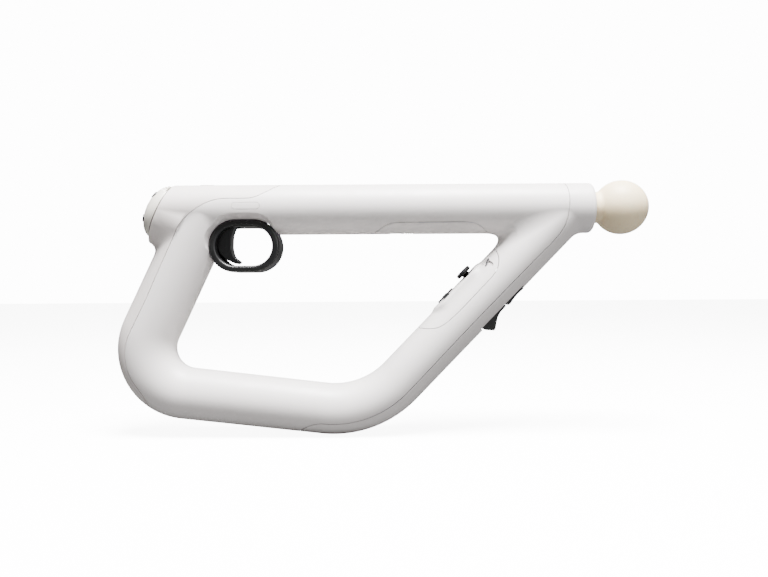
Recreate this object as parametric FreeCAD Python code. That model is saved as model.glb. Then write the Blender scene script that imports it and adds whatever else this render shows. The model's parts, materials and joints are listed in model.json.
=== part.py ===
import FreeCAD, Part
import math, os

# Two-handed VR motion controller in the form of a closed tubular frame.
# Frame: +X towards the light orb, +Z up as held, Y across the body, millimetres.
# Origin: centre of the bounding box.  y = 0 is the moulding split plane.

os.makedirs("parts", exist_ok=True)
V = FreeCAD.Vector

# ---------------------------------------------------------------- driving sizes
WALL = 2.4            # moulded wall
GAP = 0.30            # seam between two mouldings
BAR_Z = 82.4          # height of the barrel axis
BAR_R = 20.9          # barrel outside radius
MUZZLE_X = 174.6      # front end face of the barrel
ORB_X, ORB_Z, ORB_R = 199.8, 82.9, 22.6
GRIP_B = 20.4         # half thickness of the tube across Y
# rear (trigger hand) leg: outside and inside lines
GO, GI = (-197.61, 32.65), (-144.69, 32.33)
GD = (-0.4250, -0.9052)
# lower rear bend: centres and radii of outside and inside arcs
BLO, BLO_R = (-163.15, -33.42), 59.1
BLI, BLI_R = (-156.94, -32.87), 17.0
# bottom run
BO, BI = (-110.9, -98.5), (-100.5, -56.9)
BD = (0.9935, -0.1137)
# lower front bend
BR_RO, BR_RI = 96.6, 58.0
# front leg (support hand)
SD = (0.6973, 0.7168)
SN = (-0.7168, 0.6973)
S_MID, S_HALF = -52.9, 20.4
# rear end face
RF = (-183.54, 80.41)
RN = (-0.9033, 0.4291)
RDn = (-0.4291, -0.9033)
RA, RB = 24.35, 20.9
DOME_H = 13.0
# trigger guard
GX, GZ = -114.35, 51.6
GUARD_HY = 14.0

# seams, as (x, z) in side view
REAR_SEAM = [(-75.0, 107.5), (-86.1, 101.2), (-99.6, 93.3), (-106.5, 90.6), (-114.0, 90.0), (-128.3, 90.0), (-136.5, 88.9), (-143.5, 86.5), (-150.3, 82.8), (-157.2, 77.8),
             (-162.9, 72.1), (-167.3, 65.6), (-171.8, 56.6), (-182.8, 32.4), (-193.3, 8.6), (-203.3, -12.0), (-209.0, -24.0), (-211.2, -35.0), (-210.2, -47.0), (-206.3, -57.0),
             (-200.0, -66.5), (-196.3, -72.5), (-194.2, -78.5), (-192.6, -90.0)]
FRONT_SEAM = [(150.0, 108.0), (151.2, 101.5), (152.0, 95.0), (152.1, 88.0), (151.5, 80.0), (150.1, 72.0), (146.8, 63.6), (140.3, 55.2), (128.6, 43.5), (109.9, 24.6), (91.0, 5.4),
              (72.1, -13.9), (52.3, -34.6), (36.0, -51.8), (20.3, -68.0), (13.9, -74.2), (1.7, -83.0), (-11.8, -89.4), (-26.2, -93.4), (-41.0, -94.7), (-53.0, -94.3), (-62.0, -96.7),
              (-69.0, -101.5), (-75.0, -110.0)]
PAD_SEAM = [(91.6, 53.0), (93.4, 48.2), (94.4, 43.6), (94.8, 40.0), (94.4, 36.0), (93.2, 31.9), (90.7, 27.6), (87.2, 23.4), (78.4, 14.2), (62.6, -2.2), (53.9, -10.2), (48.8, -14.1), (43.2, -16.6),
            (37.6, -17.3), (30.1, -17.0), (20.0, -16.6)]
UNDER_SEAM = [(-14.0, 56.5), (-8.3, 60.9), (-2.3, 64.9), (1.8, 67.3), (6.0, 69.0), (11.5, 69.8), (26.8, 69.9), (60.0, 70.0), (67.9, 70.0), (74.5, 69.2), (80.5, 66.6), (86.0, 62.8), (92.0, 57.0)]


# ---------------------------------------------------------------- helpers
def save(name, shape):
    solids = shape.Solids
    if not solids:
        raise SystemExit("no solid in " + name)
    out = solids[0] if len(solids) == 1 else Part.makeCompound(solids)
    if not out.isValid():
        try:
            out.fix(1e-4, 1e-4, 1e-3)
        except Exception:
            pass
    print("%-26s solids %d  vol %.0f  valid %s  faces %d" % (name, len(solids), out.Volume, out.isValid(), len(out.Faces)), flush=True)
    out.exportStep("parts/%s.step" % name)


def P3(p, y=0.0):
    return V(p[0], y, p[1])


def add(p, q, k=1.0):
    return (p[0] + q[0] * k, p[1] + q[1] * k)


def seam_offset(points, delta):
    """The seam curve moved sideways by delta, to its left as it runs."""
    out = []
    for i, p in enumerate(points):
        a = points[max(i - 1, 0)]
        b = points[min(i + 1, len(points) - 1)]
        l = math.hypot(b[0] - a[0], b[1] - a[1])
        out.append((p[0] - (b[1] - a[1]) / l * delta, p[1] + (b[0] - a[0]) / l * delta))
    return out


def prism(curve, closing, y0=-60.0, y1=60.0):
    """Solid between y0 and y1 over a region bounded by a smooth curve and straight closing lines."""
    s = Part.BSplineCurve()
    s.interpolate([P3(p, y0) for p in curve])
    edges = [s.toShape()]
    chain = [curve[-1]] + list(closing) + [curve[0]]
    for a, b in zip(chain, chain[1:]):
        edges.append(Part.makeLine(P3(a, y0), P3(b, y0)))
    w = Part.Wire(edges)
    return Part.Face(w).extrude(V(0, y1 - y0, 0))


def poly(points, y0, y1):
    pts = [P3(p, y0) for p in points] + [P3(points[0], y0)]
    return Part.Face(Part.makePolygon(pts)).extrude(V(0, y1 - y0, 0))


def spline_poly(points, y0, y1):
    """Closed smooth profile in XZ, extruded along Y."""
    s = Part.BSplineCurve()
    s.interpolate([P3(p, y0) for p in points], True)
    return Part.Face(Part.Wire([s.toShape()])).extrude(V(0, y1 - y0, 0))


def cyl(r, p0, p1):
    d = p1 - p0
    return Part.makeCylinder(r, d.Length, p0, d)


def tube(ro, ri, p0, p1):
    return cyl(ro, p0, p1).cut(cyl(ri, p0, p1))


def obround_y(cx, cz, hx, hz, y0, y1):
    """Obround in the XZ plane, hx and hz its half sizes (hx > hz)."""
    k = hx - hz
    a, b = V(cx - k, y0, cz), V(cx + k, y0, cz)
    w = Part.Wire([
        Part.makeLine(V(cx - k, y0, cz + hz), V(cx + k, y0, cz + hz)),
        Part.Arc(V(cx + k, y0, cz + hz), V(cx + hx, y0, cz), V(cx + k, y0, cz - hz)).toShape(),
        Part.makeLine(V(cx + k, y0, cz - hz), V(cx - k, y0, cz - hz)),
        Part.Arc(V(cx - k, y0, cz - hz), V(cx - hx, y0, cz), V(cx - k, y0, cz + hz)).toShape()])
    if y1 is None:
        return w
    return Part.Face(w).extrude(V(0, y1 - y0, 0))


class Local:
    """A local frame: u along, v across (Y), w up, at a point in the XZ plane."""

    def __init__(self, o, u, w):
        self.o, self.u, self.w = o, u, w

    def p(self, u, v, w):
        return V(self.o[0] + self.u[0] * u + self.w[0] * w, v, self.o[1] + self.u[1] * u + self.w[1] * w)

    def box(self, u0, u1, v0, v1, w0, w1):
        pts = [self.p(u0, v0, w0), self.p(u1, v0, w0), self.p(u1, v1, w0), self.p(u0, v1, w0), self.p(u0, v0, w0)]
        d = self.p(0, 0, w1) - self.p(0, 0, w0)
        return Part.Face(Part.makePolygon(pts)).extrude(d)

    def cyl(self, r, u, v, w0, w1):
        return cyl(r, self.p(u, v, w0), self.p(u, v, w1))

    def prof(self, pts, v0, v1):
        """Profile in (u, w), extruded across Y."""
        q = [self.p(a, v0, b) for a, b in pts]
        return Part.Face(Part.makePolygon(q + [q[0]])).extrude(V(0, v1 - v0, 0))

    def sprof(self, pts, v0, v1):
        s = Part.BSplineCurve()
        s.interpolate([self.p(a, v0, b) for a, b in pts], True)
        return Part.Face(Part.Wire([s.toShape()])).extrude(V(0, v1 - v0, 0))

    def revolve(self, pts, u=0.0, v=0.0):
        """Profile (radius, w) turned about the w axis at (u, v)."""
        o = self.p(u, v, 0)
        W = (self.p(0, 0, 1) - self.p(0, 0, 0))
        U = (self.p(1, 0, 0) - self.p(0, 0, 0))
        q = [o + U * r + W * w for r, w in pts]
        return Part.Face(Part.makePolygon(q + [q[0]])).revolve(o, W, 360)

    def ellipse(self, a, b, w):
        """Ellipse wire: a along u, b along Y, at height w."""
        c = self.p(0, 0, w)
        if a >= b:
            e = Part.Ellipse(self.p(a, 0, w), self.p(0, b, w), c)
        else:
            e = Part.Ellipse(self.p(0, b, w), self.p(-a, 0, w), c)
        return Part.Wire([e.toShape()])


def blend_edges(shape, r, pick):
    es = [e for e in shape.Edges if pick(e)]
    for k in (1.0, 0.8, 0.6, 0.4):
        try:
            s = shape.makeFillet(r * k, es)
            if s.isValid() and s.Volume > 0:
                return s
        except Exception:
            pass
    return shape


# ---------------------------------------------------------------- the frame tube
def ang(v):
    return math.atan2(v[1], v[0])


def dot(a, b):
    return a[0] * b[0] + a[1] * b[1]


G_OUT = (GD[1], -GD[0])            # outward normals of the three runs
B_OUT = (BD[1], -BD[0])
S_OUT = (SD[1], -SD[0])


def line_centre(n1, c1, n2, c2):
    """Point with n1.p = c1 and n2.p = c2."""
    det = n1[0] * n2[1] - n1[1] * n2[0]
    return ((c1 * n2[1] - n1[1] * c2) / det, (n1[0] * c2 - c1 * n2[0]) / det)


c_bo = dot(B_OUT, BO)
c_bi = dot(B_OUT, BI)
c_so = dot(S_OUT, add((0, 0), SN, S_MID - S_HALF))
c_si = dot(S_OUT, add((0, 0), SN, S_MID + S_HALF))
BRO = line_centre(B_OUT, c_bo - BR_RO, S_OUT, c_so - BR_RO)
BRI = line_centre(B_OUT, c_bi - BR_RI, S_OUT, c_si - BR_RI)


def runs():
    """Five runs of (outside point, inside point) sections: leg, bend, bottom, bend, leg."""
    a0, a1, a2 = ang(G_OUT), ang(B_OUT), ang(S_OUT)
    while a0 < 0:
        a0 += 2 * math.pi
    while a1 < a0:
        a1 += 2 * math.pi
    while a2 < a1:
        a2 += 2 * math.pi

    def arc(ca, ra, cb, rb, s, e, n):
        out = []
        for i in range(n + 1):
            a = s + (e - s) * i / n
            c = (math.cos(a), math.sin(a))
            out.append((add(ca, c, ra), add(cb, c, rb)))
        return out

    b1 = arc(BLO, BLO_R, BLI, BLI_R, a0, a1, 8)
    b2 = arc(BRO, BR_RO, BRI, BR_RI, a1, a2, 6)
    go, gi = b1[0]
    so, si = b2[-1]
    return [[(add(go, GD, -122.0), add(gi, GD, -122.0)), (go, gi)], b1, [b1[-1], b2[0]], b2,
            [(so, si), (add(so, SD, 194.0), add(si, SD, 194.0))]]


def leg_parts(inset):
    parts = []
    for run in runs():
        wires = []
        for o, i in run:
            c = ((o[0] + i[0]) / 2, (o[1] + i[1]) / 2)
            l = math.hypot(o[0] - i[0], o[1] - i[1])
            u = ((o[0] - i[0]) / l, (o[1] - i[1]) / l)
            a, b = l / 2 - inset, GRIP_B - inset
            a = max(a, b + 0.01)
            wires.append(Part.Wire([Part.Ellipse(V(c[0] + u[0] * a, 0, c[1] + u[1] * a), V(c[0], b, c[1]), V(c[0], 0, c[1])).toShape()]))
        parts.append(Part.makeLoft(wires, True, len(run) == 2))
    return parts


rear = Local(RF, RDn, RN)          # u down the rear face, w out of it
strut = Local((0, 0), SD, SN)      # u up the front leg; w measured from the origin, centre line at S_MID
POD_TOP = 20.7


def W(m):
    """Height across the front leg from its centre line."""
    return S_MID + m


rear_cut = rear.box(-60, 60, -40, 40, 0.0, 60)


def pod_solid(inset):
    pod = strut.box(28.3 + inset, 81.0 - inset, -12.5 + inset, 12.5 - inset, W(2), W(POD_TOP - inset))
    n = V(SN[0], 0, SN[1])

    def upright(e):
        d = e.Vertexes[-1].Point - e.Vertexes[0].Point
        return abs(abs(d.normalize().dot(n)) - 1) < 1e-6
    pod = blend_edges(pod, 11.5 - inset, upright)
    if inset == 0:
        top = [f for f in pod.Faces if f.normalAt(0.5, 0.5).dot(n) > 0.99]
        if top:
            pod = blend_edges(pod, 1.6, lambda e: any(e.isSame(k) for k in top[0].Edges))
    return pod


def body_solid(inset):
    s = cyl(BAR_R - inset, V(-205, 0, BAR_Z), V(MUZZLE_X - inset, 0, BAR_Z))
    if inset == 0:
        s = blend_edges(s, 3.0, lambda e: e.BoundBox.XMin > MUZZLE_X - 1)
    head = Part.makeLoft([rear.ellipse(RA - inset, RB - inset, w) for w in (-20.0, 3.0)], True, True)
    for p in [head] + leg_parts(inset) + [pod_solid(inset)]:
        s = s.fuse(p)
    return s.cut(rear_cut)


def flare(off):
    """The obround hole for the trigger guard, opening out conically to both sides."""
    hx, hz = 29.3 + off, 21.7 + off
    s = obround_y(GX, GZ, hx, hz, -13.6, 13.6)
    for sgn in (-1, 1):
        w0 = obround_y(GX, GZ, hx, hz, sgn * 13.0, None)
        w1 = obround_y(GX, GZ, hx + 9.4, hz + 9.4, sgn * 28.0, None)
        s = s.fuse(Part.makeLoft([w0, w1], True, True))
    return s


FAR_REAR = [(-300.0, -90.0), (-300.0, 140.0), (-75.0, 140.0)]
FAR_FRONT = [(300.0, -110.0), (300.0, 140.0), (150.0, 140.0)]


def rear_region(d):
    return prism(seam_offset(REAR_SEAM, d), FAR_REAR)


def front_region(d):
    return prism(seam_offset(FRONT_SEAM, d), FAR_FRONT)


def pad_region(d):
    return prism(seam_offset(PAD_SEAM, d), [(10.0, 30.0), (40.0, 56.0), (88.0, 56.0)])


def under_region(d):
    return prism(seam_offset(UNDER_SEAM, d), [(92.0, 50.0), (-14.0, 50.0)])


H = GAP / 2

OUT = body_solid(0.0)
IN = body_solid(WALL)
SHELL = OUT.cut(IN)
collar = OUT.common(flare(0.3 + WALL))
SHELL = SHELL.fuse(collar).cut(flare(0.3))

# ---------------------------------------------------------------- trigger and its slot
PIV2 = (-128.5, 77.6)
slot_pts = [(-121.0, 35.0), (-127.0, 35.7), (-132.0, 37.2), (-138.0, 40.5), (-142.5, 45.5), (-144.6, 52.0), (-144.3, 60.0), (-141.5, 68.5), (-138.0, 76.0), (-136.0, 81.5), (-119.6, 81.5), (-118.8, 66.0), (-122.5, 58.0)]
slot = poly(slot_pts, -7.3, 7.3)
SHELL = SHELL.cut(slot)

# ---------------------------------------------------------------- openings in the mouldings
PILL = (-111.33, 83.82, 11.3, 2.65)
pill_hole = obround_y(PILL[0], PILL[1], PILL[2] + 0.15, PILL[3] + 0.15, -30, 30)
home = V(-147.05, 0, 0)
home_hole = cyl(5.75 + 0.15, V(-147.05, 0, 90), V(-147.05, 0, 112))
muzzle_hole = cyl(15.4, V(165, 0, BAR_Z), V(180, 0, BAR_Z))

STICK_U, DPAD_U, STK_PIV = 67.9, 43.4, 10.8
stick_hole = strut.cyl(9.5, STICK_U, 0, W(8), W(30))


def key_prism(k, off, w0, w1):
    """Direction key k of four: a house-shaped pad pointing to the middle."""
    pts = [(1.35, 0.0), (4.2, -2.9), (8.3, -2.9), (8.3, 2.9), (4.2, 2.9)]
    if off:
        pts = [(1.35 - off * 1.4, 0.0), (4.2 - off * 0.4, -2.9 - off), (8.3 + off, -2.9 - off), (8.3 + off, 2.9 + off), (4.2 - off * 0.4, 2.9 + off)]
    c, s = [(1, 0), (0, 1), (-1, 0), (0, -1)][k]
    q = [strut.p(DPAD_U + a * c - b * s, a * s + b * c, W(w0)) for a, b in pts]
    f = Part.Face(Part.makePolygon(q + [q[0]]))
    return f.extrude(strut.p(0, 0, W(w1)) - strut.p(0, 0, W(w0)))


key_holes = [key_prism(k, 0.2, 12, 30) for k in range(4)]

# lanyard eye: a D-shaped through pocket with a bar across it
EYE = [(81.2, 35.6), (83.6, 38.4), (86.4, 38.9), (89.2, 37.6), (90.4, 35.2), (88.6, 32.2), (84.6, 33.2)]
eye_hole = spline_poly(EYE, -30, -7.5)
eye_bar = cyl(0.8, V(84.0, -10.4, 31.4), V(87.2, -10.4, 40.2))

# bumper and trigger openings on the outside of the front leg
L_WIN = strut.box(43.6, 93.4, -10.3, 10.3, W(-34), W(-11.0))
PIV_L1, PIV_L2, PIN_R = (91.0, -14.5), (68.4, -15.2), 1.0
pin_l1 = cyl(PIN_R, strut.p(PIV_L1[0], -12.2, W(PIV_L1[1])), strut.p(PIV_L1[0], 12.2, W(PIV_L1[1])))
pin_l2 = cyl(PIN_R, strut.p(PIV_L2[0], -12.2, W(PIV_L2[1])), strut.p(PIV_L2[0], 12.2, W(PIV_L2[1])))
pin_bores = cyl(PIN_R + 0.02, strut.p(PIV_L1[0], -12.25, W(PIV_L1[1])), strut.p(PIV_L1[0], 12.25, W(PIV_L1[1]))).fuse(
    cyl(PIN_R + 0.02, strut.p(PIV_L2[0], -12.25, W(PIV_L2[1])), strut.p(PIV_L2[0], 12.25, W(PIV_L2[1]))))

# service port under the barrel
port_cut = Part.makeBox(9.4, 11.0, 8.0, V(6.0, -5.5, 57.0)).fuse(Part.makeBox(4.5, 8.4, 4.6, V(14.0, -4.2, 61.4)))
rib_cuts = [Part.makeBox(1.0, 13.0, 6.0, V(18.2 + 2.0 * k, -6.5, 57.0 + 0.0)) for k in range(4)]

# ---------------------------------------------------------------- shells
rear_spine = SHELL.common(rear_region(-H)).cut(home_hole)
front_spine = SHELL.common(front_region(H)).cut(muzzle_hole)
pad = SHELL.common(pad_region(-H)).cut(stick_hole)
for k in key_holes:
    pad = pad.cut(k)
under = SHELL.common(under_region(-H)).cut(port_cut)
for k in rib_cuts:
    under = under.cut(k.common(strut.box(-400, 400, -60, 60, -400, 400)))
main = SHELL.cut(rear_region(H)).cut(front_region(-H)).cut(pad_region(H)).cut(under_region(H)).cut(pill_hole)
front_spine = front_spine.cut(L_WIN).cut(pin_bores)
main = main.cut(L_WIN)
pad = pad.cut(eye_hole).cut(eye_bar)
half_r = Part.makeBox(700, 100, 500, V(-350, -100.05, -250))
half_l = Part.makeBox(700, 100, 500, V(-350, 0.05, -250))
right = main.common(half_r)
left = main.common(half_l)
# screw posts: the screws enter from the left half
POSTS = [(-168.0, 48.0), (-205.0, -30.0), (-182.0, -62.0), (-112.0, -78.0), (-35.0, -84.0), (25.0, -42.0), (100.0, 30.0), (30.0, 80.0), (-40.0, 80.0), (110.0, 80.0)]
screws = []
for x, z in POSTS:
    if z > 60:
        continue
    screws.append((x, z))


def biggest(shape, minimum=40.0):
    keep = [s for s in shape.Solids if s.Volume > minimum]
    return keep[0] if len(keep) == 1 else Part.makeCompound(keep)


right, left = biggest(right), biggest(left)
rear_spine, front_spine, pad, under = [biggest(s) for s in (rear_spine, front_spine, pad, under)]

# screw bosses: a post from each half, meeting at the split, with the screw through them
screw_list = []
for x, z in screws:
    post_r = tube(3.2, 1.05, V(x, -18.6, z), V(x, -0.05, z)).common(OUT)
    post_l = tube(3.2, 1.25, V(x, 0.05, z), V(x, 18.6, z)).common(OUT)
    bore = cyl(2.6, V(x, 13.0, z), V(x, 40, z))
    left = left.fuse(post_l).cut(bore).cut(cyl(1.25, V(x, 0, z), V(x, 20, z)))
    right = right.fuse(post_r)
    screw_list.append(cyl(1.05, V(x, -9.0, z), V(x, 13.0, z)).fuse(cyl(2.3, V(x, 13.0, z), V(x, 14.6, z))).cut(Part.makeBox(0.6, 0.8, 3.0, V(x - 0.3, 14.1, z - 1.5))).cut(Part.makeBox(3.0, 0.8, 0.6, V(x - 1.5, 14.1, z - 0.3))))
right, left = biggest(right), biggest(left)

save("right_body_shell", right)
save("left_body_shell", left)
save("rear_spine_cover", rear_spine)
save("front_spine_cover", front_spine)
save("control_pad_cover", pad)
save("underside_port_cover", under)
save("shell_screws", Part.makeCompound(screw_list))
save("lanyard_bar", eye_bar)

# ---------------------------------------------------------------- rear end
def dome(off, w0=1.0):
    """Low elliptical dome over the rear face; off grows it evenly."""
    s = Part.makeSphere(1.0)
    m = FreeCAD.Matrix()
    m.scale(23.6 + off, 20.5 + off, 13.0 + off)
    s = s.transformGeometry(m)
    m = FreeCAD.Matrix()
    # local u, v, w axes to the rear face
    m.A11, m.A12, m.A13, m.A14 = RDn[0], 0.0, RN[0], RF[0] + RN[0] * w0
    m.A21, m.A22, m.A23, m.A24 = 0.0, 1.0, 0.0, 0.0
    m.A31, m.A32, m.A33, m.A34 = RDn[1], 0.0, RN[1], RF[1] + RN[1] * w0
    s = s.transformGeometry(m)
    return s.common(rear.box(-60, 60, -40, 40, w0, 60))


def disc(local, a, b, w0, w1):
    return Part.makeLoft([local.ellipse(a, b, w0), local.ellipse(a, b, w1)], True, True)


gasket = disc(rear, 23.9, 20.6, 0.0, 1.0).cut(disc(rear, 21.6, 18.3, -1, 2))
save("rear_cap_gasket", gasket)

D0 = dome(0.0)
WELL_R, RB_R, RB_D = 9.6, 2.9, 15.0
KEY_U = -17.2
end_cap = D0.cut(dome(-2.2)).cut(rear.cyl(WELL_R, 0, 0, -6, 30))
rear_btn = []
for k in range(4):
    a = math.radians(45 + 90 * k)
    u, v = RB_D * math.cos(a), RB_D * math.sin(a)
    end_cap = end_cap.cut(rear.cyl(RB_R + 0.2, u, v, -6, 30))
    b = rear.cyl(RB_R, u, v, 3.2, 30).common(dome(0.75))
    b = b.fuse(rear.cyl(RB_R - 1.2, u, v, -1.8, 3.4))
    rear_btn.append(b)
key_cut = rear.box(-60, KEY_U + 0.3, -40, 40, 1.15, 60)
end_cap = biggest(end_cap.cut(key_cut))
key = D0.cut(dome(-2.2)).common(rear.box(-60, KEY_U, -40, 40, 2.1, 60))
for j in range(3):
    key = key.cut(rear.box(-23.0 + 1.5 * j, -22.4 + 1.5 * j, -40, 40, 0, 60).cut(dome(-0.5)))
key = biggest(key, 5.0)
save("rear_end_cap", end_cap)
save("rear_top_key", key)
for n, b in zip(("lower_left", "upper_left", "upper_right", "lower_right"), rear_btn):
    save("rear_button_" + n, b)


# ---------------------------------------------------------------- sticks
def stick(local, u0, base, cap_r, cap_lo, cap_hi, cup, plate):
    """Gimballed thumb stick. base is the height of the pivot; cap_lo and cap_hi are measured from it."""
    def L(h):
        return base + h
    O = Local((local.o[0] + local.u[0] * u0 + local.w[0] * base, local.o[1] + local.u[1] * u0 + local.w[1] * base), local.u, local.w)
    socket = O.revolve(cup)
    legs = O.box(-9.3, -7.3, -2.4, 2.4, plate, 3.0).fuse(O.box(7.3, 9.3, -2.4, 2.4, plate, 3.0))
    socket = socket.fuse(legs).fuse(O.box(-9.3, 9.3, -6.5, 6.5, plate - 1.2, plate))
    socket = socket.cut(cyl(1.06, O.p(-9.0, 0, 0), O.p(9.0, 0, 0)))
    socket = socket.cut(O.revolve([(0.0, -4.0), (4.5, -4.0), (4.5, 8.0), (0.0, 8.0)]))
    yoke = O.box(-6.3, 6.3, -6.3, 6.3, -1.5, 1.5).cut(O.box(-4.7, 4.7, -4.7, 4.7, -3, 3))
    yoke = yoke.fuse(cyl(1.0, O.p(-8.9, 0, 0), O.p(-6.0, 0, 0))).fuse(cyl(1.0, O.p(6.0, 0, 0), O.p(8.9, 0, 0)))
    yoke = yoke.cut(cyl(1.02, O.p(0, -8, 0), O.p(0, 8, 0)))
    block = O.revolve([(0.0, -2.6), (2.6, -2.6), (3.7, -1.2), (3.7, 1.2), (2.6, 2.6), (0.0, 2.6)])
    block = block.fuse(cyl(0.96, O.p(0, -6.2, 0), O.p(0, -3.0, 0))).fuse(cyl(0.96, O.p(0, 3.0, 0), O.p(0, 6.2, 0)))
    block = block.cut(O.cyl(1.7, 0, 0, -4, 4))
    t = cap_hi - cap_lo
    prof = [(0.0, -3.4), (1.6, -3.4), (1.6, 4.0), (1.6, cap_lo - 2.0), (2.6, cap_lo), (cap_r - 0.9, cap_lo), (cap_r, cap_lo + 0.9), (cap_r, cap_hi - 1.1), (cap_r - 0.35, cap_hi - 0.35),
            (cap_r - 1.1, cap_hi), (cap_r - 1.9, cap_hi - 0.25), (cap_r - 3.4, cap_hi - 0.75), (0.0, cap_hi - 0.95)]
    top = O.revolve(prof)
    return socket, yoke, block, top


f_cup = [(4.6, 2.6), (4.6, 3.6), (7.8, 4.6), (8.6, 9.2), (9.1, 10.05), (9.35, 9.9), (9.35, 7.3), (9.9, 7.3), (9.9, 5.9), (9.35, 5.9), (9.35, 2.6)]
for n, s in zip(("socket", "yoke", "block", "cap"), stick(strut, STICK_U, W(STK_PIV), 6.8, 12.4, 15.7, f_cup, -5.0)):
    save("front_stick_" + n, s)
r_cup = [(4.6, 2.6), (4.6, 3.8), (8.0, 4.8), (8.5, 8.6), (9.45, 8.6), (9.45, 2.6)]
for n, s in zip(("socket", "yoke", "block", "cap"), stick(rear, 0.0, 0.0, 6.5, 11.2, 14.0, r_cup, -5.0)):
    save("rear_stick_" + n, s)

# ---------------------------------------------------------------- direction keys
for k, n in enumerate(("up", "left", "down", "right")):
    kk = key_prism(k, 0.0, 14.6, 22.9)
    kk = blend_edges(kk, 0.7, lambda e: abs((e.CenterOfMass - strut.p(0, 0, W(22.9))).dot(V(SN[0], 0, SN[1]))) < 1e-3)
    kk = kk.fuse(key_prism(k, 0.6, 16.2, 17.8))
    save("direction_key_" + n, kk)
mat = strut.box(33.0, 53.8, -9.4, 9.4, W(12.2), W(13.2))
for k in range(4):
    c, s_ = [(1, 0), (0, 1), (-1, 0), (0, -1)][k]
    mat = mat.fuse(strut.cyl(1.8, DPAD_U + 5.8 * c, 5.8 * s_, W(13.0), W(13.5)))
save("direction_key_mat", mat)

# ---------------------------------------------------------------- front bumper and trigger
l1_pts = [(70.4, -12.6), (72.9, -19.6), (73.7, -20.5), (75.6, -20.7), (78.2, -20.3), (81.5, -19.8), (85.5, -19.6), (89.0, -19.8), (91.8, -19.9), (92.9, -19.0), (93.1, -16.0), (93.1, -12.6)]
l1 = strut.prof([(a, W(b)) for a, b in l1_pts], -9.9, 9.9)
l1 = blend_edges(l1, 1.2, lambda e: abs(abs(e.CenterOfMass.y) - 9.9) < 1e-6 and e.CenterOfMass.dot(V(SN[0], 0, SN[1])) < W(-18.5))
l1 = l1.cut(cyl(PIN_R + 0.05, strut.p(PIV_L1[0], -12, W(PIV_L1[1])), strut.p(PIV_L1[0], 12, W(PIV_L1[1]))))
l1 = l1.cut(strut.box(72.5, 87.0, -7.9, 7.9, W(-18.0), W(-10)))
l1 = l1.cut(strut.cyl(0.1, 0, 0, W(-100), W(-99)))
save("front_bumper", l1)
l2_pts = [(69.6, -12.6), (71.9, -18.9), (71.3, -19.5), (69.9, -19.6), (64.3, -19.8), (60.0, -21.1), (56.0, -23.5), (52.8, -25.8), (51.2, -26.5), (49.8, -26.3), (48.9, -25.2),
          (45.6, -21.4), (44.9, -20.0), (44.7, -17.0), (46.0, -13.6), (50.0, -12.4), (58.0, -12.4)]
l2 = strut.prof([(a, W(b)) for a, b in l2_pts], -9.9, 9.9)
l2 = blend_edges(l2, 1.4, lambda e: abs(abs(e.CenterOfMass.y) - 9.9) < 1e-6 and e.CenterOfMass.dot(V(SN[0], 0, SN[1])) < W(-19.0))
l2 = l2.cut(cyl(PIN_R + 0.05, strut.p(PIV_L2[0], -12, W(PIV_L2[1])), strut.p(PIV_L2[0], 12, W(PIV_L2[1]))))
l2 = l2.cut(cyl(3.4, strut.p(PIV_L2[0], -2.4, W(PIV_L2[1])), strut.p(PIV_L2[0], 2.4, W(PIV_L2[1]))).common(strut.box(60, 72, -9, 9, W(-18.6), W(0))))
l2 = l2.cut(strut.box(46.6, 62.5, -8.0, 8.0, W(-17.6), W(-10)))
save("front_trigger", l2)
save("front_bumper_pin", pin_l1)
save("front_trigger_pin", pin_l2)

# ---------------------------------------------------------------- rear trigger, its guard and bracket
guard = obround_y(GX, GZ, 29.25, 21.65, -GUARD_HY, GUARD_HY).cut(obround_y(GX, GZ, 23.05, 16.15, -20, 20))
guard = blend_edges(guard, 2.2, lambda e: abs(abs(e.CenterOfMass.y) - GUARD_HY) < 1e-6)
guard = guard.cut(slot)
save("trigger_guard", biggest(guard))
r2_pts = [(-124.5, 77.6), (-122.6, 70.5), (-123.9, 66.4), (-125.6, 62.0), (-126.3, 56.0), (-126.3, 50.0), (-125.3, 45.6), (-122.9, 41.6), (-119.7, 38.3), (-120.5, 37.4), (-124.6, 38.0), (-130.0, 40.6),
          (-134.5, 44.5), (-137.2, 49.0), (-138.2, 54.0), (-137.8, 60.0), (-136.4, 66.0), (-134.0, 72.0), (-132.4, 77.6), (-131.2, 80.3), (-128.5, 81.4), (-125.6, 80.3)]
r2 = spline_poly(r2_pts, -6.5, 6.5)
r2 = blend_edges(r2, 1.6, lambda e: abs(abs(e.CenterOfMass.y) - 6.5) < 1e-6)
R2_PIN = 1.5
r2 = r2.cut(cyl(R2_PIN + 0.05, V(PIV2[0], -10, PIV2[1]), V(PIV2[0], 10, PIV2[1])))
r2 = r2.cut(tube(3.4, 0.5, V(PIV2[0], -2.6, PIV2[1]), V(PIV2[0], 2.6, PIV2[1])))
save("rear_trigger", r2)
save("rear_trigger_pin", cyl(R2_PIN, V(PIV2[0], -9.9, PIV2[1]), V(PIV2[0], 9.9, PIV2[1])))
br = Part.makeBox(7.2, 2.3, 7.0, V(-133.5, -9.9, 75.8)).fuse(Part.makeBox(7.2, 2.3, 7.0, V(-133.5, 7.6, 75.8))).fuse(Part.makeBox(10, 19.8, 1.6, V(-133.5, -9.9, 82.4)))
br = br.cut(cyl(R2_PIN + 0.02, V(PIV2[0], -12, PIV2[1]), V(PIV2[0], 12, PIV2[1])))
save("rear_trigger_bracket", br)


def coil(local_o, axis_y0, turns, r, wire):
    """Torsion coil round a pin that runs along Y."""
    pitch = wire * 2.5
    h = Part.makeHelix(pitch, pitch * turns, r)
    c = Part.Wire([Part.makeCircle(wire, V(r, 0, 0), V(0, 1, 0))])
    s = Part.Wire(h).makePipeShell([c], True, True)
    s.rotate(V(0, 0, 0), V(1, 0, 0), -90)
    s.translate(V(local_o.x, axis_y0, local_o.z))
    return s


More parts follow.
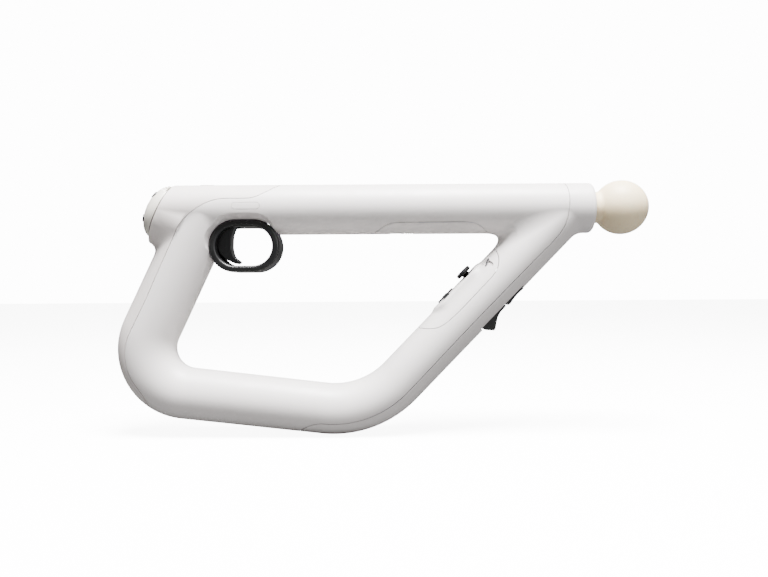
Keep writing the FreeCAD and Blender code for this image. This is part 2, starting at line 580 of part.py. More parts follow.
coils = [coil(V(PIV2[0], 0, PIV2[1]), -1.9, 3.5, 2.25, 0.4), coil(strut.p(PIV_L2[0], 0, W(PIV_L2[1])), -1.9, 4, 1.75, 0.3)]
save("trigger_springs", Part.makeCompound(coils))

# ---------------------------------------------------------------- small buttons
big_bar = cyl(BAR_R + 0.35, V(-180, 0, BAR_Z), V(-80, 0, BAR_Z))
bar0 = cyl(BAR_R + 0.05, V(-180, 0, BAR_Z), V(-80, 0, BAR_Z))
for n, sg in (("right", -1), ("left", 1)):
    y0, y1 = sorted((sg * 22.0, sg * 16.3))
    b = obround_y(PILL[0], PILL[1], PILL[2], PILL[3], y0, y1).common(bar0)
    f0, f1 = sorted((sg * 17.6, sg * 16.3))
    b = b.fuse(obround_y(PILL[0], PILL[1], PILL[2] + 0.7, PILL[3] + 0.35, f0, f1))
    save("side_button_" + n, b)
hb = cyl(5.75, V(-147.05, 0, 97.2), V(-147.05, 0, 112)).common(big_bar)
hb = hb.fuse(cyl(6.6, V(-147.05, 0, 97.2), V(-147.05, 0, 98.8)))
save("home_button", hb)

# ---------------------------------------------------------------- light orb
neck_r, neck_ri = 13.0, 11.4
orb = Part.makeSphere(ORB_R, V(ORB_X, 0, ORB_Z)).fuse(cyl(neck_r, V(171.0, 0, ORB_Z - 0.3), V(190.0, 0, ORB_Z - 0.3)))
orb = orb.cut(Part.makeSphere(ORB_R - 1.8, V(ORB_X, 0, ORB_Z))).cut(cyl(neck_ri, V(165, 0, ORB_Z - 0.3), V(192.0, 0, ORB_Z - 0.3)))
save("orb_diffuser", orb)
ring = tube(15.3, 13.15, V(173.2, 0, BAR_Z), V(175.6, 0, BAR_Z)).cut(cyl(13.15, V(170, 0, ORB_Z - 0.3), V(180, 0, ORB_Z - 0.3)))
save("orb_ring", ring)
guide = cyl(10.6, V(166.9, 0, ORB_Z - 0.3), V(182.0, 0, ORB_Z - 0.3)).fuse(Part.makeSphere(10.6, V(182.0, 0, ORB_Z - 0.3)).common(Part.makeBox(20, 40, 40, V(182, -20, ORB_Z - 20))))
save("orb_light_guide", guide)
led = cyl(12.5, V(163.0, 0, ORB_Z), V(164.6, 0, ORB_Z)).fuse(Part.makeBox(1.4, 5.0, 5.0, V(164.6, -2.5, ORB_Z - 2.5)))
save("orb_led_board", led)

# ---------------------------------------------------------------- electronics and battery
pcb = Part.makeBox(172, 26, 1.6, V(-52, -13, 88.0))
for x, y, a, b, h in ((-40, -6, 12, 12, 1.6), (-15, -9, 8, 8, 1.2), (5, -5, 14, 10, 1.4), (40, -8, 10, 6, 1.0), (70, 2, 7, 7, 1.2), (95, -10, 9, 12, 2.0), (-30, 8, 16, 4, 1.0)):
    pcb = pcb.fuse(Part.makeBox(a, b, h, V(x, y, 89.6)))
save("main_circuit_board", pcb)
batt = cyl(9.2, V(30, 0, 75.4), V(98, 0, 75.4)).fuse(cyl(6.0, V(98, 0, 75.4), V(99.2, 0, 75.4)))
save("battery_pack", batt)
usb = Part.makeBox(6.4, 8.0, 7.0, V(-1.4, -4.0, 66.2)).cut(Part.makeBox(6.0, 7.0, 2.6, V(-0.4, -3.5, 69.0)))
usb = Part.makeBox(7.2, 9.0, 4.2, V(9.0, -4.5, 66.4)).cut(Part.makeBox(5.6, 7.0, 2.6, V(9.8, -3.5, 65.0)))
usb = usb.fuse(Part.makeBox(12.0, 12.0, 1.4, V(6.6, -6.0, 70.6)))
save("usb_port", usb)
gb = strut.box(29.0, 80.0, -10.0, 10.0, W(1.6), W(3.2)).fuse(strut.box(31, 41, -5, 5, W(0.4), W(1.6))).fuse(strut.box(60, 74, -6, 4, W(0.6), W(1.6)))
save("front_grip_board", gb)
rbd = disc(rear, 17.0, 14.2, -9.2, -7.6)
rbd = rbd.fuse(rear.box(-6, 6, -5, 5, -10.6, -9.2))
save("rear_control_board", rbd)
rm = disc(rear, 18.4, 15.2, -4.6, -3.6).cut(rear.cyl(11.0, 0, 0, -6, 0))
save("rear_button_mat", rm)
for n, (x, z) in (("front", (-22.0, -84.5)), ("rear", (-196.5, -20.0))):
    m = cyl(7.0, V(x, -11.0, z), V(x, 2.5, z)).fuse(cyl(2.6, V(x, 2.5, z), V(x, 3.3, z))).cut(cyl(1.06, V(x, -9.0, z), V(x, 6, z)))
    save(n + "_rumble_motor", m)
    w = cyl(6.6, V(x, 4.0, z), V(x, 11.0, z)).cut(Part.makeBox(14, 10, 8, V(x - 7, 3, z + 0.9))).fuse(cyl(2.2, V(x, 4.0, z), V(x, 11.0, z))).fuse(cyl(1.0, V(x, -7.0, z), V(x, 4.5, z)))
    save(n + "_rumble_weight", w)
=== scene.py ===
import json
import math

import bmesh
import bpy
import numpy as np
import openvdb
from mathutils import Matrix, Vector


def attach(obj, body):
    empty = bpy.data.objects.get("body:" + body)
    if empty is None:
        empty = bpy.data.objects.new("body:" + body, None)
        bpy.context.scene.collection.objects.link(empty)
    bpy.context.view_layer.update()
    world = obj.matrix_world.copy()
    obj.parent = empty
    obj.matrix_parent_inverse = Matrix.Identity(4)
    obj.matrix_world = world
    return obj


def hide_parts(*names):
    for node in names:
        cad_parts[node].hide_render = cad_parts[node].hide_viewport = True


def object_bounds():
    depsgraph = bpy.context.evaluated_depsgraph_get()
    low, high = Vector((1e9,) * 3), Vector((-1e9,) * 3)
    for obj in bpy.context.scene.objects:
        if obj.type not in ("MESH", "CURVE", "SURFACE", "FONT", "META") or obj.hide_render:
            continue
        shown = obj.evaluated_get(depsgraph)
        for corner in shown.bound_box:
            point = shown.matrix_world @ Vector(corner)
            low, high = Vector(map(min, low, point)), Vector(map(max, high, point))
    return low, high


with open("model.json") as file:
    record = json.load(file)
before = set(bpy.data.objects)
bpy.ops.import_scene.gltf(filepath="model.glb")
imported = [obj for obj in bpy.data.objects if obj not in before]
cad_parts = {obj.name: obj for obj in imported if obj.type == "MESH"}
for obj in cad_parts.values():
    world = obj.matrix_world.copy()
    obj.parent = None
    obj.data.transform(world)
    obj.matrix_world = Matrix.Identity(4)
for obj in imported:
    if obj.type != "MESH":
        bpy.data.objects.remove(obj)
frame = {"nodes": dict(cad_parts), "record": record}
CAD_LO, CAD_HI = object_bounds()
SLOT = {s["node"]: s["material_slot"] for s in frame["record"]["subparts"]}

# ------------------------------------------------------------------ sizes of the mouldings (mm, the part's own frame)
WALL, GAP = 2.4, 0.5
BAR_Z, BAR_R, MUZZLE_X = 82.4, 20.9, 174.6
GRIP_B = 20.4
GO, GI, GD = (-197.61, 32.65), (-144.69, 32.33), (-0.4250, -0.9052)
BLO, BLO_R = (-163.15, -33.42), 59.1
BLI, BLI_R = (-156.94, -32.87), 17.0
BO, BI, BD = (-110.9, -98.5), (-100.5, -56.9), (0.9935, -0.1137)
BR_RO, BR_RI = 96.6, 58.0
SD, SN = (0.6973, 0.7168), (-0.7168, 0.6973)
S_MID, S_HALF = -52.9, 20.4
RF, RN, RDn = (-183.54, 80.41), (-0.9033, 0.4291), (-0.4291, -0.9033)
RA, RB = 24.35, 20.9
GX, GZ = -114.35, 51.6
POD_TOP = 20.7
REAR_SEAM = [(-75.0, 107.5), (-86.1, 101.2), (-99.6, 93.3), (-106.5, 90.6), (-114.0, 90.0), (-128.3, 90.0), (-136.5, 88.9), (-143.5, 86.5), (-150.3, 82.8), (-157.2, 77.8),
             (-162.9, 72.1), (-167.3, 65.6), (-171.8, 56.6), (-182.8, 32.4), (-193.3, 8.6), (-203.3, -12.0), (-209.0, -24.0), (-211.2, -35.0), (-210.2, -47.0), (-206.3, -57.0),
             (-200.0, -66.5), (-196.3, -72.5), (-194.2, -78.5), (-192.6, -90.0)]
FRONT_SEAM = [(150.0, 108.0), (151.2, 101.5), (152.0, 95.0), (152.1, 88.0), (151.5, 80.0), (150.1, 72.0), (146.8, 63.6), (140.3, 55.2), (128.6, 43.5), (109.9, 24.6), (91.0, 5.4),
              (72.1, -13.9), (52.3, -34.6), (36.0, -51.8), (20.3, -68.0), (13.9, -74.2), (1.7, -83.0), (-11.8, -89.4), (-26.2, -93.4), (-41.0, -94.7), (-53.0, -94.3), (-62.0, -96.7),
              (-69.0, -101.5), (-75.0, -110.0)]
PAD_SEAM = [(91.6, 53.0), (93.4, 48.2), (94.4, 43.6), (94.8, 40.0), (94.4, 36.0), (93.2, 31.9), (90.7, 27.6), (87.2, 23.4), (78.4, 14.2), (62.6, -2.2), (53.9, -10.2), (48.8, -14.1), (43.2, -16.6),
            (37.6, -17.3), (30.1, -17.0), (20.0, -16.6)]
UNDER_SEAM = [(-14.0, 56.5), (-8.3, 60.9), (-2.3, 64.9), (1.8, 67.3), (6.0, 69.0), (11.5, 69.8), (26.8, 69.9), (60.0, 70.0), (67.9, 70.0), (74.5, 69.2), (80.5, 66.6), (86.0, 62.8), (92.0, 57.0)]


def dot2(a, b):
    return a[0] * b[0] + a[1] * b[1]


G_OUT, B_OUT, S_OUT = (GD[1], -GD[0]), (BD[1], -BD[0]), (SD[1], -SD[0])
C_GO = dot2(G_OUT, (BLO[0] + G_OUT[0] * BLO_R, BLO[1] + G_OUT[1] * BLO_R))
C_GI = dot2(G_OUT, (BLI[0] + G_OUT[0] * BLI_R, BLI[1] + G_OUT[1] * BLI_R))
C_BO, C_BI = dot2(B_OUT, BO), dot2(B_OUT, BI)
C_SO = dot2(S_OUT, (SN[0] * (S_MID - S_HALF), SN[1] * (S_MID - S_HALF)))
C_SI = dot2(S_OUT, (SN[0] * (S_MID + S_HALF), SN[1] * (S_MID + S_HALF)))


def line_centre(n1, c1, n2, c2):
    det = n1[0] * n2[1] - n1[1] * n2[0]
    return ((c1 * n2[1] - n1[1] * c2) / det, (n1[0] * c2 - c1 * n2[0]) / det)


BRO = line_centre(B_OUT, C_BO - BR_RO, S_OUT, C_SO - BR_RO)
BRI = line_centre(B_OUT, C_BI - BR_RI, S_OUT, C_SI - BR_RI)
# the lower run is laid between its two bends
_a1 = (BLO[0] + B_OUT[0] * BLO_R, BLO[1] + B_OUT[1] * BLO_R)
_b1 = (BLI[0] + B_OUT[0] * BLI_R, BLI[1] + B_OUT[1] * BLI_R)


def smin(a, b, k):
    k = np.maximum(k, 1e-4)
    h = np.maximum(k - np.abs(a - b), 0.0) / k
    return np.minimum(a, b) - h * h * k * 0.25


def round_and(a, b, r):
    """Intersection of two solids with a rounded edge."""
    return np.minimum(np.maximum(a, b), -r) + np.hypot(np.maximum(a + r, 0), np.maximum(b + r, 0))


def side_curve(x, z, cl, rl, cr, rr, cg, cb, cs):
    """Signed distance past one long edge of the frame tube, and its outward direction."""
    n = np.empty(x.shape + (2,))
    d = np.empty(x.shape)

    def arc(m, c, r):
        vx, vz = x[m] - c[0], z[m] - c[1]
        l = np.maximum(np.hypot(vx, vz), 1e-6)
        d[m] = l - r
        n[m, 0], n[m, 1] = vx / l, vz / l

    def line(m, nn, c):
        d[m] = x[m] * nn[0] + z[m] * nn[1] - c
        n[m] = nn
    # the lower run joins the two arcs exactly
    p0 = np.array([cl[0] + B_OUT[0] * rl, cl[1] + B_OUT[1] * rl])
    p1 = np.array([cr[0] + B_OUT[0] * rr, cr[1] + B_OUT[1] * rr])
    e = (p1 - p0) / np.linalg.norm(p1 - p0)
    nb = (e[1], -e[0])
    left = x < -100
    lg, le = (x - cl[0]) * GD[0] + (z - cl[1]) * GD[1], (x - cl[0]) * e[0] + (z - cl[1]) * e[1]
    al = left & (lg >= 0) & (le < 0)
    g = left & ~al & (lg + le < 0)
    bl = left & ~al & ~g
    re, rs = (x - cr[0]) * e[0] + (z - cr[1]) * e[1], (x - cr[0]) * SD[0] + (z - cr[1]) * SD[1]
    ar = ~left & (re >= 0) & (rs < 0)
    s = ~left & ~ar & (re + rs >= 0)
    br = ~left & ~ar & ~s
    line(g, G_OUT, cg)
    arc(al, cl, rl)
    line(bl | br, nb, nb[0] * p0[0] + nb[1] * p0[1])
    arc(ar, cr, rr)
    line(s, S_OUT, cs)
    return d, n


def body(p):
    """Smooth outside of the moulded body; negative inside. p is n x 3, in mm."""
    x, y, z = p[:, 0], p[:, 1], p[:, 2]
    rb = np.maximum(np.hypot(y, z - BAR_Z), 1e-6)
    bar = rb - BAR_R
    gb = np.stack([np.zeros_like(x), y / rb, (z - BAR_Z) / rb], 1)
    do, no = side_curve(x, z, BLO, BLO_R, BRO, BR_RO, C_GO, C_BO, C_SO)
    di, _ = side_curve(x, z, BLI, BLI_R, BRI, BR_RI, C_GI, C_BI, C_SI)
    a = (di - do) * 0.5
    s = (di + do) * 0.5 / a
    e = np.maximum(np.sqrt(s * s + (y / GRIP_B) ** 2), 1e-6)
    tube = (e - 1.0) * 21.0
    gt = np.stack([no[:, 0] * s / a, y / GRIP_B ** 2, no[:, 1] * s / a], 1)
    gt /= np.maximum(np.linalg.norm(gt, axis=1, keepdims=True), 1e-9)
    tube = np.maximum(tube, z - 86.0)
    k = 15.0 * np.clip(1.0 - (gb * gt).sum(1), 0, 1)
    k = np.where(np.abs(z - 86.0) < 4, 0.0, k)
    f = smin(bar, tube, k)
    u = (x - RF[0]) * RDn[0] + (z - RF[1]) * RDn[1]
    w = (x - RF[0]) * RN[0] + (z - RF[1]) * RN[1]
    eh = np.maximum(np.sqrt((u / RA) ** 2 + (y / RB) ** 2), 1e-6)
    head = np.maximum((eh - 1.0) * 22.0, -w - 22.0)
    gh = np.stack([RDn[0] * u / RA ** 2, y / RB ** 2, RDn[1] * u / RA ** 2], 1)
    gh /= np.maximum(np.linalg.norm(gh, axis=1, keepdims=True), 1e-9)
    ramp = np.clip(u / 12.0, 0, 1)
    kh = ramp * ramp * (3 - 2 * ramp) * 12.0 * np.clip(1.0 - (gh * gt).sum(1), 0, 1)
    kh = np.maximum(kh, 12.0 * np.clip(1.0 - (gh * gb).sum(1), 0, 1))
    f = smin(f, head, kh)
    pu = x * SD[0] + z * SD[1]
    pm = x * SN[0] + z * SN[1] - S_MID
    qx, qy = np.abs(pu - 54.65) - (26.35 - 11.5), np.abs(y) - (12.5 - 11.5)
    d2 = np.hypot(np.maximum(qx, 0), np.maximum(qy, 0)) + np.minimum(np.maximum(qx, qy), 0) - 11.5
    pod = np.maximum(round_and(d2, pm - POD_TOP, 1.8), 2.0 - pm)
    f = smin(f, pod, 5.0)
    return round_and(f, x - MUZZLE_X, 3.0)


def obround(x, z, off):
    """Distance from the trigger guard's obround outline, grown by off."""
    kx = 29.3 - 21.7
    return np.hypot(np.maximum(np.abs(x - GX) - kx, 0), z - GZ) - (21.7 + off)


def flare_f(p, off=0.3):
    grow = np.maximum(np.abs(p[:, 1]) - 13.0, 0) * (9.4 / 15.0)
    return obround(p[:, 0], p[:, 2], off + grow)


def gradient(f, p, eps=0.04):
    g = np.empty_like(p)
    for i in range(3):
        d = np.zeros(3)
        d[i] = eps
        g[:, i] = (f(p + d) - f(p - d)) / (2 * eps)
    return g


# ------------------------------------------------------------------ mesh helpers
def new_object(name, verts, faces):
    me = bpy.data.meshes.new(name)
    me.from_pydata([tuple(v) for v in verts], [], [tuple(f) for f in faces])
    me.update()
    ob = bpy.data.objects.new(name, me)
    bpy.context.scene.collection.objects.link(ob)
    return ob


def iso_surface(name, level, pitch):
    lo = np.array([-227.0, -24.5, -109.5])
    hi = np.array([178.0, 24.5, 106.5])
    n = np.ceil((hi - lo) / pitch).astype(int) + 1
    ax = [lo[i] + pitch * np.arange(n[i]) for i in range(3)]
    vals = np.empty(n, np.float32)
    yy, zz = np.meshgrid(ax[1], ax[2], indexing="ij")
    for i, xv in enumerate(ax[0]):
        p = np.stack([np.full(yy.size, xv), yy.ravel(), zz.ravel()], 1)
        vals[i] = body(p).reshape(yy.shape) - level
    grid = openvdb.FloatGrid(background=float(pitch * 4))
    grid.copyFromArray(np.clip(vals, -pitch * 4, pitch * 4).astype(np.float32))
    pts, quads = grid.convertToQuads(isovalue=0.0)
    pts = np.asarray(pts, float) * pitch + lo
    for _ in range(3):
        f = body(pts) - level
        g = gradient(body, pts)
        g2 = np.maximum((g * g).sum(1), 0.05)
        step = (f / g2)[:, None] * g
        ln = np.linalg.norm(step, axis=1, keepdims=True)
        pts = pts - step * np.minimum(1.0, pitch * 0.8 / np.maximum(ln, 1e-9))
    quads = np.asarray(quads)
    # outward winding
    a, b, c = pts[quads[:, 0]], pts[quads[:, 1]], pts[quads[:, 2]]
    if (np.cross(b - a, c - a) * gradient(body, (a + c) / 2)).sum() < 0:
        quads = quads[:, ::-1]
    return new_object(name, pts, quads)


def boolean(a, b, op, keep_b=False):
    m = a.modifiers.new("b", "BOOLEAN")
    m.operation, m.object, m.solver = op, b, "MANIFOLD"
    dg = bpy.context.evaluated_depsgraph_get()
    me = bpy.data.meshes.new_from_object(a.evaluated_get(dg))
    a.modifiers.clear()
    old = a.data
    a.data = me
    bpy.data.meshes.remove(old)
    if not keep_b:
        drop(b)
    return a


def copy(ob, name):
    c = ob.copy()
    c.data = ob.data.copy()
    c.name = name
    bpy.context.scene.collection.objects.link(c)
    return c


def drop(ob):
    me = ob.data
    bpy.data.objects.remove(ob)
    if me.users == 0:
        bpy.data.meshes.remove(me)


def prism_y(name, pts, y0, y1):
    """Solid over a side-view outline (x, z), from y0 to y1."""
    a = 0.0
    for (x0, z0), (x1, z1) in zip(pts, pts[1:] + pts[:1]):
        a += x0 * z1 - x1 * z0
    if a > 0:
        pts = pts[::-1]
    n = len(pts)
    v = [(x, y0, z) for x, z in pts] + [(x, y1, z) for x, z in pts]
    bm = bmesh.new()
    bv = [bm.verts.new(q) for q in v]
    bm.faces.new([bv[i] for i in range(n)])
    bm.faces.new([bv[n + i] for i in reversed(range(n))])
    for i in range(n):
        j = (i + 1) % n
        bm.faces.new([bv[j], bv[i], bv[n + i], bv[n + j]])
    bmesh.ops.recalc_face_normals(bm, faces=bm.faces)
    bmesh.ops.triangulate(bm, faces=[f for f in bm.faces if len(f.verts) > 4])
    me = bpy.data.meshes.new(name)
    bm.to_mesh(me)
    bm.free()
    ob = bpy.data.objects.new(name, me)
    bpy.context.scene.collection.objects.link(ob)
    return ob


def smooth_line(points, step=1.0):
    """Catmull-Rom curve through the points, sampled about every step."""
    P = [np.array(p, float) for p in points]
    out = []
    for i in range(len(P) - 1):
        p0, p1, p2, p3 = P[max(i - 1, 0)], P[i], P[i + 1], P[min(i + 2, len(P) - 1)]
        d1 = max(np.linalg.norm(p2 - p1), 1e-6)
        d0 = max(np.linalg.norm(p1 - p0), 1e-6) if i else d1
        d2 = max(np.linalg.norm(p3 - p2), 1e-6) if i < len(P) - 2 else d1
        m1 = (p2 - p0) / (d0 + d1) if i else (p2 - p1) / d1
        m2 = (p3 - p1) / (d1 + d2) if i < len(P) - 2 else (p2 - p1) / d1
        n = max(int(d1 / step), 1)
        for j in range(n):
            t = j / n
            h1, h2 = 2 * t ** 3 - 3 * t ** 2 + 1, -2 * t ** 3 + 3 * t ** 2
            h3, h4 = t ** 3 - 2 * t ** 2 + t, t ** 3 - t ** 2
            out.append(h1 * p1 + h2 * p2 + d1 * (h3 * m1 + h4 * m2))
    out.append(P[-1])
    return np.array(out)


def shifted(line, d):
    t = np.gradient(line, axis=0)
    t /= np.linalg.norm(t, axis=1, keepdims=True)
    return line + np.stack([-t[:, 1], t[:, 0]], 1) * d


def region(name, seam, d, far):
    line = shifted(smooth_line(seam), d)
    return prism_y(name, [tuple(q) for q in line] + far, -60, 60)


FAR_REAR = [(-300.0, -90.0), (-300.0, 140.0), (-75.0, 140.0)]
FAR_FRONT = [(300.0, -110.0), (300.0, 140.0), (150.0, 140.0)]
FAR_PAD = [(10.0, 30.0), (40.0, 56.0), (88.0, 56.0)]
FAR_UNDER = [(92.0, 50.0), (-14.0, 50.0)]


class Local:
    def __init__(self, o, u, w):
        self.o, self.u, self.w = o, u, w

    def p(self, u, v, w):
        return (self.o[0] + self.u[0] * u + self.w[0] * w, v, self.o[1] + self.u[1] * u + self.w[1] * w)

    def box(self, name, u0, u1, v0, v1, w0, w1):
        pts = [self.p(a, 0, b) for a, b in ((u0, w0), (u1, w0), (u1, w1), (u0, w1))]
        return prism_y(name, [(q[0], q[2]) for q in pts], v0, v1)

    def turned(self, name, prof, u0=0.0, v0=0.0, n=96, sy=1.0):
        """Closed solid of revolution about w; prof is (radius, height) from the axis round to the axis."""
        v, f, rings = [], [], []
        for r, h in prof:
            if r < 1e-6:
                v.append(self.p(u0, v0, h))
                rings.append([len(v) - 1])
            else:
                rings.append(list(range(len(v), len(v) + n)))
                for i in range(n):
                    a = 2 * math.pi * i / n
                    v.append(self.p(u0 + r * math.cos(a), v0 + sy * r * math.sin(a), h))
        for ra, rb in zip(rings, rings[1:]):
            for i in range(n):
                j = (i + 1) % n
                q = [ra[i % len(ra)], ra[j % len(ra)], rb[j % len(rb)], rb[i % len(rb)]]
                q = list(dict.fromkeys(q))
                if len(q) > 2:
                    f.append(q)
        ob = new_object(name, v, f)
        bm = bmesh.new()
        bm.from_mesh(ob.data)
        bmesh.ops.recalc_face_normals(bm, faces=bm.faces)
        bm.to_mesh(ob.data)
        bm.free()
        return ob


rear = Local(RF, RDn, RN)
strut = Local((SN[0] * S_MID, SN[1] * S_MID), SD, SN)      # w here is height above the leg's centre line
upright = Local((0.0, 0.0), (1.0, 0.0), (0.0, 1.0))
along = Local((0.0, BAR_Z), (0.0, 1.0), (1.0, 0.0))        # w runs along the barrel


def obround_solid(name, cx, cz, levels, n=72):
    """Stacked obround sections (y, half x, half z), closed at both ends."""
    v, f = [], []
    for y, hx, hz in levels:
        k = hx - hz
        for i in range(n):
            a = 2 * math.pi * i / n + math.pi / n
            cxx = k if math.cos(a) > 0 else -k
            v.append((cx + cxx + hz * math.cos(a), y, cz + hz * math.sin(a)))
    m = len(levels)
    for j in range(m - 1):
        for i in range(n):
            i2 = (i + 1) % n
            f.append((j * n + i, j * n + i2, (j + 1) * n + i2, (j + 1) * n + i))
    f.append(tuple(range(n)))
    f.append(tuple((m - 1) * n + i for i in reversed(range(n))))
    ob = new_object(name, v, f)
    bm = bmesh.new()
    bm.from_mesh(ob.data)
    bmesh.ops.recalc_face_normals(bm, faces=bm.faces)
    bm.to_mesh(ob.data)
    bm.free()
    return ob


def flare_solid(name, off):
    g = 9.4 / 15.0
    hx, hz = 29.3 + off, 21.7 + off
    return obround_solid(name, GX, GZ, [(-30, hx + 17 * g, hz + 17 * g), (-13, hx, hz), (13, hx, hz), (30, hx + 17 * g, hz + 17 * g)], 144)


# ------------------------------------------------------------------ the moulded shells
PITCH = 1.25
outer = iso_surface("outer", 0.0, PITCH)
inner = iso_surface("inner", -WALL, 2.6)
inner = boolean(inner, flare_solid("fo", 0.3 + WALL), "DIFFERENCE")
shell = boolean(outer, rear.box("rc", -70, 70, -45, 45, 0.0, 80), "DIFFERENCE")
shell = boolean(shell, inner, "DIFFERENCE")
shell = boolean(shell, flare_solid("fi", 0.3), "DIFFERENCE")
SLOT_PTS = [(-121.0, 35.0), (-127.0, 35.7), (-132.0, 37.2), (-138.0, 40.5), (-142.5, 45.5), (-144.6, 52.0), (-144.3, 60.0), (-141.5, 68.5), (-138.0, 76.0), (-136.0, 81.5), (-119.6, 81.5), (-118.8, 66.0), (-122.5, 58.0)]
shell = boolean(shell, prism_y("sl", SLOT_PTS, -7.3, 7.3), "DIFFERENCE")


def key_outline(k, off):
    pts = [(1.35, 0.0), (4.2, -2.9), (8.3, -2.9), (8.3, 2.9), (4.2, 2.9)]
    if off:
        pts = [(1.35 - off * 1.4, 0.0), (4.2 - off * 0.4, -2.9 - off), (8.3 + off, -2.9 - off), (8.3 + off, 2.9 + off), (4.2 - off * 0.4, 2.9 + off)]
    c, s = [(1, 0), (0, 1), (-1, 0), (0, -1)][k]
    return [(a * c - b * s, a * s + b * c) for a, b in pts]


def strut_prism(name, outline, u0, w0, w1):
    v = [strut.p(u0 + a, b, w0) for a, b in outline] + [strut.p(u0 + a, b, w1) for a, b in outline]
    n = len(outline)
    f = [tuple(range(n)), tuple(n + i for i in reversed(range(n)))] + [(i, n + i, n + (i + 1) % n, (i + 1) % n) for i in range(n)]
    ob = new_object(name, v, f)
    bm = bmesh.new()
    bm.from_mesh(ob.data)
    bmesh.ops.recalc_face_normals(bm, faces=bm.faces)
    bm.to_mesh(ob.data)
    bm.free()
    return ob


def cut(ob, *tools):
    for t in tools:
        boolean(ob, t, "DIFFERENCE")
    return ob


def part_of(name, *regions):
    c = copy(shell, name)
    for r in regions:
        boolean(c, r, "INTERSECT")
    return c


H = GAP / 2
rear_spine = part_of("shell_rear_spine", region("r1", REAR_SEAM, -H, FAR_REAR))
front_spine = part_of("shell_front_spine", region("r2", FRONT_SEAM, H, FAR_FRONT))
pad = part_of("shell_control_pad", region("r3", PAD_SEAM, -H, FAR_PAD))
under = part_of("shell_underside", region("r4", UNDER_SEAM, -H, FAR_UNDER))
main = cut(copy(shell, "main"), region("r5", REAR_SEAM, H, FAR_REAR), region("r6", FRONT_SEAM, -H, FAR_FRONT), region("r7", PAD_SEAM, H, FAR_PAD), region("r8", UNDER_SEAM, H, FAR_UNDER),
           obround_solid("ph", -111.33, 83.82, [(-30, 11.58, 2.93), (30, 11.58, 2.93)], 64))

L_WIN = (43.6, 93.4, -10.3, 10.3, -34, -11.0)
cut(rear_spine, upright.turned("hh", [(0, 90), (5.9, 90), (5.9, 112), (0, 112)], -147.05, 0, 96))
cut(front_spine, along.turned("mh", [(0, 165), (15.4, 165), (15.4, 180), (0, 180)]), strut.box("lw", *L_WIN))
cut(main, strut.box("lw2", *L_WIN))
cut(pad, strut.turned("sh", [(0, 8), (9.5, 8), (9.5, 30), (0, 30)], 67.9, 0, 96))
for k in range(4):
    cut(pad, strut_prism("kh", key_outline(k, 0.2), 43.4, 12, 30))
EYE = [(81.2, 35.6), (83.6, 38.4), (86.4, 38.9), (89.2, 37.6), (90.4, 35.2), (88.6, 32.2), (84.6, 33.2)]
eye_line = smooth_line(EYE + [EYE[0]], 0.4)
core = iso_surface("core", -1.5, 2.0)
eye = boolean(prism_y("ey", [tuple(q) for q in eye_line[:-1]], -30, -7.5), core, "DIFFERENCE")
cut(pad, eye)


def block(name, x, y, z, a, b, c):
    return prism_y(name, [(x, z), (x + a, z), (x + a, z + c), (x, z + c)], y, y + b)


cut(under, block("p1", 6.0, -5.5, 57.0, 9.4, 11.0, 8.0), block("p2", 14.0, -4.2, 61.4, 4.5, 8.4, 4.6), *[block("p3", 18.2 + 2.0 * k, -6.5, 57.0, 1.0, 13.0, 6.0) for k in range(4)])
right = boolean(copy(main, "shell_right"), prism_y("hr", [(-350, -250), (350, -250), (350, 250), (-350, 250)], -100, -0.06), "INTERSECT")
left = boolean(main, prism_y("hl", [(-350, -250), (350, -250), (350, 250), (-350, 250)], 0.06, 100), "INTERSECT")
left.name = "shell_left"
drop(shell)
SCREWS = [(-168.0, 48.0), (-205.0, -30.0), (-182.0, -62.0), (-112.0, -78.0), (-35.0, -84.0), (25.0, -42.0), (100.0, 30.0)]


def screw_tool(name, x, z, r, y0, y1, n=40):
    return prism_y(name, [(x + r * math.cos(2 * math.pi * i / n), z + r * math.sin(2 * math.pi * i / n)) for i in range(n)], y0, y1)


SURFACES = [body, flare_f]


def smooth_normals(ob):
    """Shading normals straight from the surface the moulding was cut from, so the cuts leave no marks on it."""
    me = ob.data
    n = len(me.vertices)
    co = np.empty(n * 3)
    me.vertices.foreach_get("co", co)
    co = co.reshape(-1, 3)
    nl = len(me.loops)
    lv = np.empty(nl, int)
    me.loops.foreach_get("vertex_index", lv)
    npoly = len(me.polygons)
    ls, lt = np.empty(npoly, int), np.empty(npoly, int)
    me.polygons.foreach_get("loop_start", ls)
    me.polygons.foreach_get("loop_total", lt)
    pn = np.empty(npoly * 3)
    me.polygons.foreach_get("normal", pn)
    pn = pn.reshape(-1, 3)
    lp = np.repeat(np.arange(npoly), lt)
    order = np.argsort(np.repeat(ls, lt) + 0, kind="stable")
    lp = lp[order]
    out = pn[lp].copy()
    for f in SURFACES + [lambda p: -(body(p) + WALL)]:
        near = np.abs(f(co)) < (0.06 if f in SURFACES else 0.3)
        all_near = np.ones(npoly, bool)
        np.logical_and.at(all_near, lp, near[lv])
        g = gradient(f, co)
        g /= np.maximum(np.linalg.norm(g, axis=1, keepdims=True), 1e-9)
        gl = g[lv]
        d = (gl * pn[lp]).sum(1)
        if f is flare_f:
            gl = gl * np.sign(d)[:, None]
            d = np.abs(d)
        use = all_near[lp] & (d > 0.72)
        out[use] = gl[use]
    me.polygons.foreach_set("use_smooth", np.ones(npoly, bool))
    me.normals_split_custom_set([tuple(q) for q in out])
    me.update()


def finish_mesh(ob, scale=0.001):
    ob.data.transform(Matrix.Scale(scale, 4))
    ob.data.update()
    return ob


def smooth_by_angle(ob, deg=35):
    bm = bmesh.new()
    bm.from_mesh(ob.data)
    for f in bm.faces:
        f.smooth = True
    for e in bm.edges:
        e.smooth = len(e.link_faces) == 2 and e.calc_face_angle(0) < math.radians(deg)
    bm.to_mesh(ob.data)
    bm.free()


